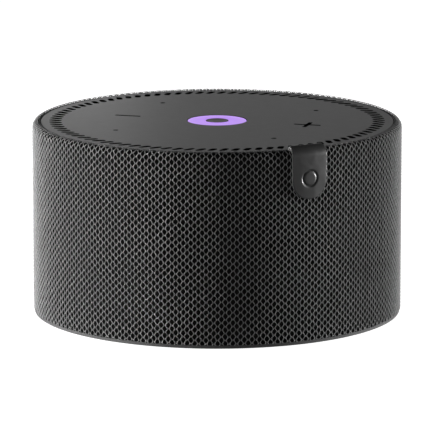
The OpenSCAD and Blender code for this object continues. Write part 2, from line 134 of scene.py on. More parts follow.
def arc(cx, cy, r, a0, a1, steps):
    """Points on an arc, from angle a0 to a1 in degrees."""
    return [(cx + r * math.cos(math.radians(a0 + (a1 - a0) * i / steps)),
             cy + r * math.sin(math.radians(a0 + (a1 - a0) * i / steps))) for i in range(steps + 1)]


def lathe(name, outline, steps):
    """A closed outline of (radius, height), turned round Z."""
    n = len(outline)
    vertices = [(r * math.cos(TURN * k / steps), r * math.sin(TURN * k / steps), z)
                for k in range(steps) for r, z in outline]
    faces = [(k * n + i, ((k + 1) % steps) * n + i, ((k + 1) % steps) * n + (i + 1) % n, k * n + (i + 1) % n)
             for k in range(steps) for i in range(n)]
    return mended(piece(name, vertices, faces), weld=1e-7, tiny=1e-7)


def stand_for(ob, body, node):
    """Puts the piece on a body, in place of a CAD node if it has one."""
    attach(ob, body)
    if node:
        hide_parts(node)
    return ob


def refined(node, body, bevel, segments=2):
    """A copy of a CAD node's mesh with its flat faces merged and its sharp edges rounded."""
    ob = copied(node, node + "_finish", math.radians(0.6))
    rounding = ob.modifiers.new("rounding", "BEVEL")
    rounding.width = bevel
    rounding.segments = segments
    rounding.limit_method = "ANGLE"
    rounding.angle_limit = math.radians(SHARP)
    rounding.harden_normals = False
    return stand_for(ob, body, node)


# ---------- materials ----------

class Shader:
    """A Principled material and short ways to add what varies over it."""

    def __init__(self, name, colour, roughness, metallic=0.0, specular=0.5):
        self.material = bpy.data.materials.new(name)
        self.material.use_nodes = True
        self.tree = self.material.node_tree
        self.bsdf = self.tree.nodes["Principled BSDF"]
        self.material.diffuse_color = (*colour, 1)
        self.colour = colour
        self.set("Base Color", (*colour, 1))
        self.set("Roughness", roughness)
        self.set("Metallic", metallic)
        self.set("Specular IOR Level", specular)
        self.roughness = roughness
        self.place = self.node("ShaderNodeTexCoord").outputs["Object"]

    def node(self, kind, **values):
        new = self.tree.nodes.new(kind)
        for key, value in values.items():
            setattr(new, key, value)
        return new

    def link(self, output, socket):
        self.tree.links.new(output, socket)

    def set(self, socket, value):
        self.bsdf.inputs[socket].default_value = value

    def noise(self, size, detail=3.0, stretch=(1, 1, 1), roughness=0.55):
        """Noise with features of about that size in metres, from 0 to 1."""
        mapping = self.node("ShaderNodeMapping")
        mapping.inputs["Scale"].default_value = stretch
        texture = self.node("ShaderNodeTexNoise")
        texture.inputs["Scale"].default_value = 1 / size
        texture.inputs["Detail"].default_value = detail
        texture.inputs["Roughness"].default_value = roughness
        self.link(self.place, mapping.inputs["Vector"])
        self.link(mapping.outputs["Vector"], texture.inputs["Vector"])
        return texture.outputs["Fac"]

    def spread(self, value, low, high, start=0.3, end=0.7):
        """Maps a value from start..end to low..high."""
        mapped = self.node("ShaderNodeMapRange")
        mapped.inputs["From Min"].default_value = start
        mapped.inputs["From Max"].default_value = end
        mapped.inputs["To Min"].default_value = low
        mapped.inputs["To Max"].default_value = high
        self.link(value, mapped.inputs["Value"])
        return mapped.outputs["Result"]

    def blend_colours(self, value, first, second, start=0.3, end=0.7):
        """First colour up to start, second from end on, and a blend between them."""
        ramp = self.node("ShaderNodeValToRGB")
        ramp.color_ramp.elements[0].position = start
        ramp.color_ramp.elements[1].position = end
        ramp.color_ramp.elements[0].color = (*first, 1)
        ramp.color_ramp.elements[1].color = (*second, 1)
        self.link(value, ramp.inputs["Fac"])
        return ramp.outputs["Color"]

    def tint(self, value, amount, start=0.3, end=0.7):
        """Base colour that varies by amount to each side of its own."""
        dark = tuple(c * (1 - amount) for c in self.colour)
        pale = tuple(min(1, c * (1 + amount)) for c in self.colour)
        self.link(self.blend_colours(value, dark, pale, start, end), self.bsdf.inputs["Base Color"])
        return self

    def rough(self, value, amount):
        """Roughness that varies by amount to each side of its own."""
        mapped = self.spread(value, max(0.02, self.roughness - amount), min(1, self.roughness + amount))
        self.link(mapped, self.bsdf.inputs["Roughness"])
        return self

    def bump(self, value, height, strength=1.0):
        """Raises the surface by up to that height in metres. A second call adds to the first."""
        relief = self.node("ShaderNodeBump")
        relief.inputs["Distance"].default_value = height
        relief.inputs["Strength"].default_value = strength
        self.link(value, relief.inputs["Height"])
        socket = self.bsdf.inputs["Normal"]
        if socket.is_linked:
            self.link(socket.links[0].from_socket, relief.inputs["Normal"])
        self.link(relief.outputs["Normal"], socket)
        return self


def moulded(name, colour, roughness, grain=0.16 * MM, relief=0.006 * MM, mottle=0.06, uneven=0.05,
            specular=0.5):
    """Moulded plastic: spark-eroded grain, slight mottling and an uneven sheen."""
    s = Shader(name, colour, roughness, specular=specular)
    s.tint(s.noise(9 * MM, 4), mottle)
    s.rough(s.noise(2.5 * MM, 3), uneven)
    s.bump(s.noise(grain, 2), relief)
    return s.material


def metal(name, colour, roughness, stretch=(1, 1, 12), line=0.4 * MM):
    """Plated or rolled metal with fine drawn lines and faint stains."""
    s = Shader(name, colour, roughness, metallic=1.0)
    s.tint(s.noise(4 * MM, 4), 0.08)
    s.rough(s.noise(line, 4, stretch), 0.12)
    s.bump(s.noise(line, 3, stretch), 0.004 * MM)
    return s.material


def rubber(name, colour, roughness, grain=0.3 * MM, relief=0.01 * MM, specular=0.35):
    """Matt rubber with dust in its pores."""
    s = Shader(name, colour, roughness, specular=specular)
    s.tint(s.noise(5 * MM, 5), 0.12)
    s.rough(s.noise(1.2 * MM, 3), 0.06)
    s.bump(s.noise(grain, 3), relief)
    return s.material


ONE_BAND = 0.314               # scale at which a wave texture has one band to a metre


def woven(name, colour, pitch, roughness=0.9, depth=0.05 * MM):
    """Plain weave: two crossed sets of threads with uneven dye."""
    s = Shader(name, colour, roughness, specular=0.2)
    s.set("Sheen Weight", 0.15)
    threads = []
    for direction in ("X", "Z"):
        wave = s.node("ShaderNodeTexWave", bands_direction=direction)
        wave.inputs["Scale"].default_value = ONE_BAND / pitch
        wave.inputs["Distortion"].default_value = 0.6
        s.link(s.place, wave.inputs["Vector"])
        threads.append(wave.outputs["Fac"])
    cross = s.node("ShaderNodeMath", operation="MAXIMUM")
    for thread, socket in zip(threads, cross.inputs):
        s.link(thread, socket)
    s.tint(cross.outputs["Value"], 0.35, 0.2, 0.9)
    s.bump(cross.outputs["Value"], depth)
    s.bump(s.noise(pitch / 3, 2), depth / 3)
    return s.material


def paper(name, colour):
    """Pressed pulp: long soft fibres."""
    s = Shader(name, colour, 0.85, specular=0.3)
    s.tint(s.noise(1.5 * MM, 6), 0.2)
    s.rough(s.noise(0.8 * MM, 4), 0.08)
    s.bump(s.noise(0.35 * MM, 5, (1, 4, 1)), 0.03 * MM)
    return s.material


def solder_mask(name, colour):
    """Circuit board: copper runs that show through the green lacquer."""
    s = Shader(name, colour, 0.32)
    s.set("Coat Weight", 0.4)
    runs = s.node("ShaderNodeTexBrick", offset=0.5)
    runs.inputs["Scale"].default_value = 160
    runs.inputs["Mortar Size"].default_value = 0.012
    runs.inputs["Color1"].default_value = (*colour, 1)
    runs.inputs["Color2"].default_value = (*(c * 0.8 for c in colour), 1)
    runs.inputs["Mortar"].default_value = (*(c * 1.7 + 0.01 for c in colour), 1)
    s.link(s.place, runs.inputs["Vector"])
    s.link(runs.outputs["Color"], s.bsdf.inputs["Base Color"])
    s.rough(s.noise(2 * MM, 3), 0.08)
    s.bump(runs.outputs["Fac"], 0.02 * MM)
    return s.material


def clear_plastic(name, colour):
    """Clear moulded plastic, slightly frosted."""
    s = Shader(name, colour, 0.18)
    s.set("Transmission Weight", 0.6)
    s.set("IOR", 1.49)
    s.rough(s.noise(1.5 * MM, 3), 0.06)
    s.bump(s.noise(0.4 * MM, 2), 0.004 * MM)
    return s.material


def glowing_lens():
    """Milky lens lit from below: even, a little paler towards its rim."""
    s = Shader("lens_glow", (0.04, 0.03, 0.06), 0.45, specular=0.2)
    middle = s.node("ShaderNodeVectorMath", operation="LENGTH")
    flat = s.node("ShaderNodeVectorMath", operation="MULTIPLY")
    flat.inputs[1].default_value = (1, 1, 0)
    s.link(s.place, flat.inputs[0])
    s.link(flat.outputs["Vector"], middle.inputs[0])
    glow = s.blend_colours(middle.outputs["Value"], (0.46, 0.235, 0.87), (0.50, 0.285, 0.89),
                           CENTRE_R, LIGHT_R)
    cloudy = s.noise(1.6 * MM, 3)
    mixed = s.node("ShaderNodeMix", data_type="RGBA", blend_type="MULTIPLY")
    mixed.inputs["Factor"].default_value = 1.0
    s.link(glow, mixed.inputs["A"])
    s.link(s.blend_colours(cloudy, (0.95, 0.94, 0.97), (1, 1, 1)), mixed.inputs["B"])
    s.link(mixed.outputs["Result"], s.bsdf.inputs["Emission Color"])
    s.set("Emission Strength", 0.95)
    s.rough(cloudy, 0.05)
    s.bump(s.noise(0.3 * MM, 2), 0.003 * MM)
    return s.material


def yarn():
    """Knitted yarn: fine filaments, uneven dye and a soft sheen."""
    s = Shader("knit_yarn", (0.175, 0.175, 0.175), 0.8, specular=0.05)
    s.tint(s.noise(0.9 * MM, 4), 0.22)
    s.rough(s.noise(0.5 * MM, 3), 0.1)
    s.bump(s.noise(0.07 * MM, 3, (1, 1, 0.25)), 0.02 * MM)
    return s.material


def painted_shade_backing():
    """Sheet under the knit, near-black as painted shade in the knit's holes, so it sends nearly no light
    back.
    """
    s = Shader("knit_backing", (0.004, 0.004, 0.004), 0.95, specular=0.02)
    s.tint(s.noise(0.5 * MM, 4), 0.4)
    s.bump(s.noise(0.15 * MM, 4), 0.02 * MM)
    return s.material


def painted_shade_wall():
    """Walls of the plate's holes and marks, and the marks' floors: rough, and near-black as painted shade in
    these deep recesses.
    """
    s = Shader("plate_hole_painted_shade", (0.006, 0.006, 0.006), 0.95, specular=0.03)
    s.tint(s.noise(0.8 * MM, 3), 0.2)
    s.bump(s.noise(0.12 * MM, 3), 0.008 * MM)
    return s.material


def painted_highlight_edge():
    """Edge faces of the rubber strap, painted paler than its faces as a painted highlight."""
    return rubber("tag_edge_painted_highlight", (0.2, 0.2, 0.2), 0.5, 0.15 * MM, 0.004 * MM, 0.5)


MAKERS = {
    "plate_plastic": lambda n: moulded(n, (0.036, 0.036, 0.036), 0.5, 0.12 * MM, 0.0006 * MM, 0.02, 0.01),
    "clear_guide": lambda n: clear_plastic(n, (0.9, 0.9, 0.93)),
    "base_plastic": lambda n: moulded(n, (0.06, 0.06, 0.06), 0.85, specular=0.15),
    "inner_plastic": lambda n: moulded(n, (0.02, 0.02, 0.021), 0.5),
    "foot_rubber": lambda n: rubber(n, (0.022, 0.022, 0.022), 0.8),
    "tag_rubber": lambda n: rubber(n, (0.026, 0.026, 0.026), 0.38, 0.18 * MM, 0.002 * MM, 0.5),
    "panel_plastic": lambda n: moulded(n, (0.022, 0.022, 0.023), 0.48, 0.25 * MM, 0.012 * MM),
    "connector_steel": lambda n: metal(n, (0.62, 0.62, 0.64), 0.28),
    "socket_plastic": lambda n: moulded(n, (0.015, 0.015, 0.015), 0.4),
    "connector_ivory": lambda n: moulded(n, (0.68, 0.62, 0.5), 0.45),
    "slider_plastic": lambda n: moulded(n, (0.55, 0.10, 0.02), 0.42),
    "acoustic_mesh": lambda n: woven(n, (0.008, 0.008, 0.008), 0.3 * MM),
    "circuit_board": lambda n: solder_mask(n, (0.012, 0.075, 0.035)),
    "gold_contact": lambda n: metal(n, (0.83, 0.6, 0.28), 0.25),
    "led_package": lambda n: moulded(n, (0.8, 0.8, 0.68), 0.3),
    "chip_epoxy": lambda n: moulded(n, (0.018, 0.018, 0.02), 0.5, 0.1 * MM),
    "shield_tin": lambda n: metal(n, (0.7, 0.7, 0.71), 0.3),
    "soft_foam": lambda n: rubber(n, (0.025, 0.025, 0.026), 0.95, 0.6 * MM),
    "thermal_gel": lambda n: rubber(n, (0.3, 0.33, 0.42), 0.6),
    "aluminium": lambda n: metal(n, (0.75, 0.75, 0.77), 0.32),
    "flex_film": lambda n: moulded(n, (0.55, 0.22, 0.03), 0.3),
    "basket_steel": lambda n: moulded(n, (0.03, 0.03, 0.032), 0.35),
    "magnet_ferrite": lambda n: metal(n, (0.16, 0.16, 0.17), 0.45),
    "zinc_steel": lambda n: metal(n, (0.58, 0.58, 0.6), 0.35),
    "coil_copper": lambda n: metal(n, (0.72, 0.32, 0.14), 0.3, (1, 1, 30), 0.15 * MM),
    "cone_paper": lambda n: paper(n, (0.025, 0.025, 0.027)),
    "surround_rubber": lambda n: rubber(n, (0.018, 0.018, 0.018), 0.6),
    "spider_cloth": lambda n: woven(n, (0.5, 0.28, 0.08), 0.4 * MM),
    "lead_sleeve": lambda n: rubber(n, (0.3, 0.02, 0.015), 0.4),
    "screw_steel": lambda n: metal(n, (0.3, 0.3, 0.31), 0.35),
    "light_lens": lambda n: glowing_lens(),
    "knit_cloth": lambda n: yarn(),
}
finishes = {}


def finish_for(slot):
    """The slot's material, made once."""
    if slot not in finishes:
        finishes[slot] = MAKERS[slot](slot)
    return finishes[slot]


def dress(ob, material):
    """Gives the whole piece one material."""
    ob.data.materials.clear()
    ob.data.materials.append(material)
    for face in ob.data.polygons:
        face.material_index = 0


# ---------- cloth: backing and knitted yarns ----------

TUCK_TURN = 0.12 * MM          # how tightly the cloth turns down beside the plate
TUCK_DEPTH = 0.45 * MM
TAG_CUT = math.radians(68)     # how far up the shoulder the cloth goes under the tag
WINDOW_GAP = 0.25 * MM         # between the cloth and the socket panel
WALES = 312                    # yarns round the body
COURSE = 1.816 * MM            # height of one stitch
STITCH_STEPS = 8               # rings of points to a stitch
SWAY = 0.205 * MM              # how far a yarn swings to each side
ROUNDER = 0.105                # third harmonic of the swing, which rounds the stitch's hole
DRIFT = 0.035 * MM             # how far a yarn wanders from its line
DRIFT_LONG, DRIFT_SHORT = 9 * MM, 3.7 * MM
YARN_W = 0.11 * MM             # half the width of a yarn
YARN_H = 0.2 * MM
YARN_LIFT = -0.18 * MM         # the yarn's underside, from the body's surface
YARN_FLANK = 0.62              # height of the yarn's widest place, as a share of YARN_H
YARN_FOOT = 0.8                # width of its underside, as a share of YARN_W
WAVE_UP = 0.03 * MM            # how much a yarn goes up and down along its length
WEB_W = 0.19 * MM              # the web where two yarns meet, from a yarn's side
WEB_RISE = 0.08 * MM
BACKING_LIFT = -0.27 * MM      # the sheet under the yarns, from the body's surface
CREST_RISE = 0.1 * MM          # how much the cloth rises over the shoulder
FLATTENED = 0.6                # how much it flattens there
WINDOW_STEPS, ROUND_STEPS = 60, 252     # columns of the sheet beside the window, and round the rest
LOW_ROWS, HIGH_ROWS = 6, 40    # rows of the sheet below and above the window's middle

WALL_LEN = CLOTH_TOP - SHOULDER_R - CLOTH_Z0
ARC_LEN = SHOULDER_R * math.pi / 2
FLAT_LEN = BODY_R - SHOULDER_R - (TUCK_R + TUCK_TURN)
TURN_LEN = TUCK_TURN * math.pi / 2
CLOTH_LEN = WALL_LEN + ARC_LEN + FLAT_LEN + TURN_LEN + TUCK_DEPTH


def cloth_at(s, lift):
    """Radius and height at a length s up the cloth, raised by lift off its surface."""
    s = np.asarray(s, float)
    ends = np.cumsum([WALL_LEN, ARC_LEN, FLAT_LEN, TURN_LEN])
    over = np.clip((s - ends[0]) / SHOULDER_R, 0, math.pi / 2)
    down = np.clip((s - ends[2]) / TUCK_TURN, 0, math.pi / 2) + math.pi / 2
    r = np.select(
        [s < ends[0], s < ends[1], s < ends[2], s < ends[3]],
        [BODY_R + 0 * s, BODY_R - SHOULDER_R + SHOULDER_R * np.cos(over), BODY_R - SHOULDER_R - (s - ends[1]),
         TUCK_R + TUCK_TURN + TUCK_TURN * np.cos(down)], TUCK_R)
    z = np.select(
        [s < ends[0], s < ends[1], s < ends[2], s < ends[3]],
        [CLOTH_Z0 + s, CLOTH_TOP - SHOULDER_R + SHOULDER_R * np.sin(over), CLOTH_TOP + 0 * s,
         CLOTH_TOP - TUCK_TURN + TUCK_TURN * np.sin(down)], CLOTH_TOP - TUCK_TURN - (s - ends[3]))
    out = np.where(s < ends[1], over, down)
    out = np.where((s >= ends[1]) & (s < ends[2]), math.pi / 2, out)
    return r + lift * np.cos(out), z + lift * np.sin(out)


def window_span(x):
    """Lowest and highest z of the socket panel's window in the cloth at that x, or None beside it."""
    corner = 2.0 * MM
    half = (panel_high.x - panel_low.x) / 2 + WINDOW_GAP
    low, high = panel_low.z - WINDOW_GAP, panel_high.z + WINDOW_GAP
    middle = (panel_high.x + panel_low.x) / 2
    dx = abs(x - middle)
    if dx >= half:
        return None
    inset = corner - math.sqrt(max(corner ** 2 - max(dx - (half - corner), 0) ** 2, 0))
    return low + inset, high - inset


def cloth_spans(angle):
    """The stretches of length along the cloth that exist at that angle."""
    top = CLOTH_LEN
    under_tag = abs(math.remainder(angle - TAG_ANGLE, TURN)) * BODY_R < TAG_W / 2 + TAG_OFF
    if under_tag:
        top = WALL_LEN + SHOULDER_R * TAG_CUT
    if math.sin(angle) > 0:
        span = window_span(BODY_R * math.cos(angle))
        if span:
            return [(0.0, span[0] - CLOTH_Z0), (span[1] - CLOTH_Z0, top)]
    return [(0.0, top)]


def yarns(first, last, name):
    """Knitted yarns from number first up to last: closed strands that swing from side to side, and that
    reach out to their neighbours where they meet them."""
    vertices, faces = [], []
    for k in range(first, last):
        rng = np.random.default_rng(1000 + k)
        wander = rng.uniform(-1, 1, 4)
        base = TURN * (k + 0.5) / WALES
        for s0, s1 in cloth_spans(base):
            if s1 - s0 < 0.5 * MM:
                continue
            count = max(3, round((s1 - s0) / COURSE * STITCH_STEPS))
            s = np.linspace(s0, s1, count + 1)
            phase = TURN * (s / COURSE + 0.5 * (k % 2)) + 0.25 * wander[0]
            swing = np.sin(phase) - ROUNDER * np.cos(3 * phase)
            drift = DRIFT * (np.sin(s / DRIFT_LONG * TURN + 6 * wander[0]) * wander[1]
                             + np.sin(s / DRIFT_SHORT * TURN + 6 * wander[2]) * wander[3])
            side = SWAY * swing + drift
            left, right = (np.clip(sign * swing, 0, 1) ** 1.5 for sign in (-1, 1))
            base_l, base_r = (YARN_LIFT + WEB_RISE * meets for meets in (left, right))
            flank = YARN_LIFT + YARN_FLANK * YARN_H
            section = ((-YARN_W * YARN_FOOT - WEB_W * left, base_l), (-YARN_W, flank),
                       (0, YARN_LIFT + YARN_H),
                       (YARN_W, flank), (YARN_W * YARN_FOOT + WEB_W * right, base_r))
            crest = WAVE_UP * np.sin(2 * phase)
            rings = []
            over = np.clip((s - WALL_LEN) / ARC_LEN, 0, 1)
            for across, lift in section:
                r, z = cloth_at(s, lift * (1 - FLATTENED * over) + crest + CREST_RISE * over)
                angle = base + (side + across) / BODY_R
                rings.append(np.stack([r * np.cos(angle), r * np.sin(angle), z], -1))
            start, n = len(vertices), len(section)
            vertices.extend(np.stack(rings, 1).reshape(-1, 3).tolist())
            for i in range(count):
                a = start + n * i
                faces.extend([(a + j, a + (j + 1) % n, a + (j + 1) % n + n, a + j + n) for j in range(n)])
            end = start + n * count
            faces.extend([tuple(range(start + n - 1, start - 1, -1)), tuple(range(end, end + n))])
    ob = piece(name, vertices, faces)
    sharpen(ob, 75)
    stand_for(ob, "housing", None)
    dress(ob, finish_for("knit_cloth"))
    return ob


def backing_cloth():
    """The sheet under the yarns, near-black as painted shade in the knit's holes: one sheet with the window
    cut out and the edge tucked in.
    """
    window_half = (panel_high.x - panel_low.x) / 2 + WINDOW_GAP
    edge = math.acos(window_half / BODY_R)
    window = math.pi - 2 * edge
    angles = [edge + window * i / WINDOW_STEPS for i in range(WINDOW_STEPS + 1)]
    angles += [math.pi - edge + (TURN - window) * i / ROUND_STEPS for i in range(1, ROUND_STEPS)]
    split = (panel_low.z + panel_high.z) / 2 - CLOTH_Z0
    vertices, faces = [], []

    def strip(angle, s0, s1, rows):
        """A column of points up the cloth, and the number of its first one."""
        r, z = cloth_at(np.linspace(s0, s1, rows + 1), BACKING_LIFT)
        vertices.extend(np.stack([r * math.cos(angle), r * math.sin(angle), z], -1).tolist())
        return len(vertices) - rows - 1

    def columns(numbers, window_open):
        """Columns in that order, each with a lower and an upper strip, and the faces between them."""
        made = []
        for n in numbers:
            nudge = {0: 1e-6, WINDOW_STEPS: -1e-6}.get(n, 0)      # keeps the window's two edges inside it
            spans = cloth_spans(angles[n] + nudge)
            cut = window_open and len(spans) == 2
            made.append((strip(angles[n], 0.0, spans[0][1] if cut else split, LOW_ROWS),
                         strip(angles[n], spans[1][0] if cut else split, spans[-1][1], HIGH_ROWS)))
        for (low_a, high_a), (low_b, high_b) in zip(made, made[1:]):
            for a, b, rows in ((low_a, low_b, LOW_ROWS), (high_a, high_b, HIGH_ROWS)):
                faces.extend([(a + i, b + i, b + i + 1, a + i + 1) for i in range(rows)])

    columns(range(WINDOW_STEPS + 1), True)
    columns([*range(WINDOW_STEPS, len(angles)), 0], False)
    ob = mended(piece("sleeve_backing", vertices, faces), weld=2e-6)
    stand_for(ob, "housing", "fabric_sleeve")
    # near-black material: painted shade in the knit's holes
    dress(ob, painted_shade_backing())
    return ob


# ---------- top plate ----------

SLOTS = 90
SLOT_IN, SLOT_OUT, SLOT_W = 41.2 * MM, 44.6 * MM, 1.6 * MM
SLOT_SLANT = math.radians(30)
SLOT_PHASE = math.radians(0.4)
MARK_X, MARK_LEN, MARK_W, MARK_DEPTH = 24.8 * MM, 7.2 * MM, 1.1 * MM, 0.4 * MM
MIC_RING, MIC_R = 30.4 * MM, 0.7 * MM
EDGE = 0.05 * MM               # rounding of the plate's holes
RIM_EDGE = 0.2 * MM            # rounding of its rim
EDGE_STEPS = 4
MESH_STEP = 2.75 * MM          # between the points that keep the plate's triangles even
PLUS = 3                       # number of the plus mark among the plate's outlines
MICS = [(MIC_RING * math.cos(a), MIC_RING * math.sin(a)) for a in np.radians([45, 135, 225, 315]).tolist()]


def circle(r, steps):
    """Points round a circle about the origin."""
    return [(r * math.cos(TURN * i / steps), r * math.sin(TURN * i / steps)) for i in range(steps)]


def placed(points, angle=0.0, shift=(0, 0)):
    """The points turned about the origin, then shifted."""
    c, s = math.cos(angle), math.sin(angle)
    return [(c * x - s * y + shift[0], s * x + c * y + shift[1]) for x, y in points]


def stadium(length, width, grow, steps):
    """A slot with round ends, grown outwards."""
    half, r = (length - width) / 2, width / 2 + grow
    return arc(half, 0, r, -90, 90, steps) + arc(-half, 0, r, 90, 270, steps)


def cross(length, width, grow):
    """A plus with small round corners, grown outwards."""
    a, b = length / 2, width / 2
    tip, notch = 0.15 * MM, 0.2 * MM
    quarter = (arc(b + notch, b + notch, notch - grow, 270, 180, 3)[::-1]
               + arc(a - tip, b - tip, tip + grow, 90, 0, 3)
               + arc(a - tip, -b + tip, tip + grow, 0, -90, 3))
    points = []
    for turn in range(4):
        points += placed(quarter, -turn * math.pi / 2)
    return points[::-1]


def plate_loops(grow):
    """The plate's outlines, each hole grown and the rim shrunk by the fraction grow of its own rounding."""
    wide = grow * EDGE
    slot_len = (SLOT_OUT - SLOT_IN - SLOT_W) / math.cos(SLOT_SLANT) + SLOT_W
    slot = placed(stadium(slot_len, SLOT_W, wide, 7), -SLOT_SLANT, ((SLOT_IN + SLOT_OUT) / 2, 0))
    loops = [("rim", circle(PLATE_R - grow * RIM_EDGE, 360)),
             ("hole", circle(LIGHT_R + 0.15 * MM + wide, 120)),
             ("mark", placed(stadium(MARK_LEN, MARK_W, wide, 5), 0, (-MARK_X, 0))),
             ("mark", placed(cross(MARK_LEN, MARK_W, wide), 0, (MARK_X, 0)))]
    loops += [("hole", placed(slot, TURN * i / SLOTS + SLOT_PHASE)) for i in range(SLOTS)]
    loops += [("hole", placed(circle(MIC_R + wide, 20), 0, mic)) for mic in MICS]
    return loops


def spare_points():
    """Points between the plate's holes, which keep its triangles even."""
    points = []
    for i in range(12):
        r = 9.8 * MM + MESH_STEP * i
        points += placed(circle(r, round(TURN * r / MESH_STEP)), 0.4 * i)
    along = [k * 0.9 * MM for k in range(-4, 5)]
    marks = [(side * (MARK_X + k), 0) for side in (-1, 1) for k in along]
    marks += [(MARK_X, k) for k in along] + MICS
    return [p for p in points if all(math.dist(p, m) > 1.3 * MM for m in marks)]


def in_cross(x, y):
    """Whether a place is inside the plus, not in the corner between two of its arms."""
    x, y = abs(x - MARK_X), abs(y)
    return min(x, y) < MARK_W / 2 + EDGE * 1.2


def plate_triangles(loops, corners, owner):
    """Triangles of the plate's upper face, and those of its marks' floors, as vertex numbers."""
    edges = []
    for n in range(len(loops)):
        first = owner.index(n)
        count = len(loops[n][1])
        edges += [(first + i, first + (i + 1) % count) for i in range(count)]
    flat = [Vector((x / MM, y / MM)) for x, y in corners]
    _, _, faces, origin, _, _ = geometry.delaunay_2d_cdt(flat, edges, [], 0, 1e-5, True)
    top, floor = [], []
    for face in faces:
        ids = [origin[i][0] for i in face]
        owners = {owner[i] for i in ids}
        loop = owners.pop() if len(owners) == 1 else -1
        kind = loops[loop][0] if loop >= 0 else "rim"
        if loop == PLUS and not in_cross(*(sum(corners[i][k] for i in ids) / 3 for k in (0, 1))):
            kind = "rim"
        if kind == "rim":
            top.append(ids)
        elif kind == "mark":
            floor.append(ids)
    return top, floor


def top_plate():
    """The plate, with every hole's edge rounded and its two sunk marks."""
    loops = plate_loops(1.0)
    spare = spare_points()
    corners = [p for _, points in loops for p in points] + spare
    owner = [n for n, (_, points) in enumerate(loops) for _ in points] + [-1] * len(spare)
    top, floor = plate_triangles(loops, corners, owner)
    vertices = [(x, y, 0.0) for x, y in corners]
    # third value: on a hole's or mark's wall, or a mark's floor, where the near-black painted shade goes
    polygons = [(ids, False, False) for ids in top]       # vertex numbers, smooth, on a hole's wall
    rings = [(1 - math.sin(t), -1 + math.cos(t)) for t in np.linspace(0, math.pi / 2, EDGE_STEPS + 1)[1:]]
    grown = {grow: plate_loops(grow) for grow in [g for g, _ in rings] + [0.0]}
    last = {}                                             # lowest vertex below each corner of an outline
    for n, (kind, points) in enumerate(loops):
        edge = RIM_EDGE if kind == "rim" else EDGE
        depth = MARK_DEPTH if kind == "mark" else PLATE_T
        count = len(points)
        outline = range(owner.index(n), owner.index(n) + count)
        above = list(outline)
        for grow, z in [(g, z * edge) for g, z in rings] + [(0.0, -depth)]:
            below = list(range(len(vertices), len(vertices) + count))
            vertices += [(x, y, z) for x, y in grown[grow][n][1]]
            for i in range(count):
                j = (i + 1) % count
                polygons.append(((above[i], above[j], below[j], below[i]), True, kind != "rim" and grow == 0))
            above = below
        last.update(zip(outline, above))
    under = {}

    def lowest(i):
        """The vertex of the plate's underside below vertex i."""
        if owner[i] >= 0 and loops[owner[i]][0] != "mark":
            return last[i]
        if i not in under:
            under[i] = len(vertices)
            vertices.append((*corners[i], -PLATE_T))
        return under[i]

    polygons += [([last[i] for i in ids], False, True) for ids in floor]
    polygons += [([lowest(i) for i in reversed(ids)], False, False) for ids in top + floor]
    ob = piece("plate_shell", [(x, y, z + PLATE_TOP) for x, y, z in vertices], [f for f, _, _ in polygons])
    ob.data.materials.append(finish_for("plate_plastic"))
    # second material: near-black painted shade for the holes' and marks' walls and the marks' floors
    ob.data.materials.append(painted_shade_wall())
    for face, (_, smooth, wall) in zip(ob.data.polygons, polygons):
        face.use_smooth = smooth
        face.material_index = int(wall)
    stand_for(mended(ob), "housing", "top_plate")


def light():
    """The lens ring and the plain button in its middle, with rounded edges."""
    edge = 0.14 * MM
    top = PLATE_TOP - 0.06 * MM            # the lens lies a little lower than the plate
    low = ring_low.z
    inner = CENTRE_R + 0.08 * MM
    flat = CENTRE_R * 0.86                 # the button is dished inside this radius
    dish = 0.12 * MM
    dish_steps = 8
    outline = [(inner, low), (LIGHT_R, low), *arc(LIGHT_R - edge, top - edge, edge, 0, 90, 5),
               *arc(inner + edge, top - edge, edge, 90, 180, 5)]
    lens = lathe("lens_ring", outline, 160)
    sharpen(lens, 40)
    stand_for(lens, "housing", "light_ring")
    dress(lens, finish_for("light_lens"))
    shares = [1 - i / dish_steps for i in range(1, dish_steps + 1)]
    outline = [(0, low), (CENTRE_R, low), *arc(CENTRE_R - edge, PLATE_TOP - edge, edge, 0, 90, 5),
               (flat, PLATE_TOP), *((flat * share, PLATE_TOP - dish * (1 - share ** 2)) for share in shares)]
    button = lathe("centre_button", outline, 96)
    sharpen(button, 40)
    stand_for(button, "housing", "centre_cap")
    dress(button, finish_for("plate_plastic"))


# ---------- tag ----------

TAG_R = BODY_R + TAG_OFF + TAG_T / 2      # the middle of the strap's thickness
TAG_EDGE = 0.22 * MM                      # rounding of the strap's edges
TAG_THIN = 0.85                           # how much thinner it is at the very edge
TAG_ACROSS = 72                           # faces across the strap
TAG_CROWD = math.pi / 2 * 0.98            # crowds the points towards the strap's edges
PAINTED_HIGHLIGHT_FACES = 3                             # faces at each edge that take the paler painted highlight
MARK_R, MARK_HALF_W, MARK_SUNK = 2.0 * MM, 0.34 * MM, 0.26 * MM     # the plain ring sunk in its end
MARK_WALL = 1.7                           # how steep the ring's sides are


def on_bend(centre, r, start, end, steps):
    """Points on an arc and the outward direction at each."""
    return [((centre[0] + r * math.cos(a), centre[1] + r * math.sin(a)), (math.cos(a), math.sin(a)))
            for a in np.radians(np.linspace(start, end, steps))]


def tag_path():
    """Points and outward directions (radius, height) along the strap's middle, from its low end to its
    tucked end."""
    bend = SHOULDER_R + TAG_OFF + TAG_T / 2
    centre = (BODY_R - SHOULDER_R, CLOTH_TOP - SHOULDER_R)
    straight = [((TAG_R, z), (1, 0)) for z in np.linspace(tag_low.z, centre[1], 70)[:-1]]
    leg = PLATE_R + 0.08 * MM + TAG_T / 2
    small = TAG_T / 2 + 0.02 * MM
    leave = math.degrees(math.acos((leg + small - centre[0]) / bend)) if leg + small > centre[0] else 90
    over = on_bend(centre, bend, 0, leave, 26)
    end_x, end_z = over[-1][0]
    turn = (end_x - small * math.cos(math.radians(leave)), end_z - small * math.sin(math.radians(leave)))
    down = on_bend(turn, small, leave, 180, 14)[1:]
    tail = [((turn[0] - small, z), (-1, 0)) for z in np.linspace(turn[1], tag_high.z - 2.6 * MM, 8)[1:]]
    return straight + over + down + tail


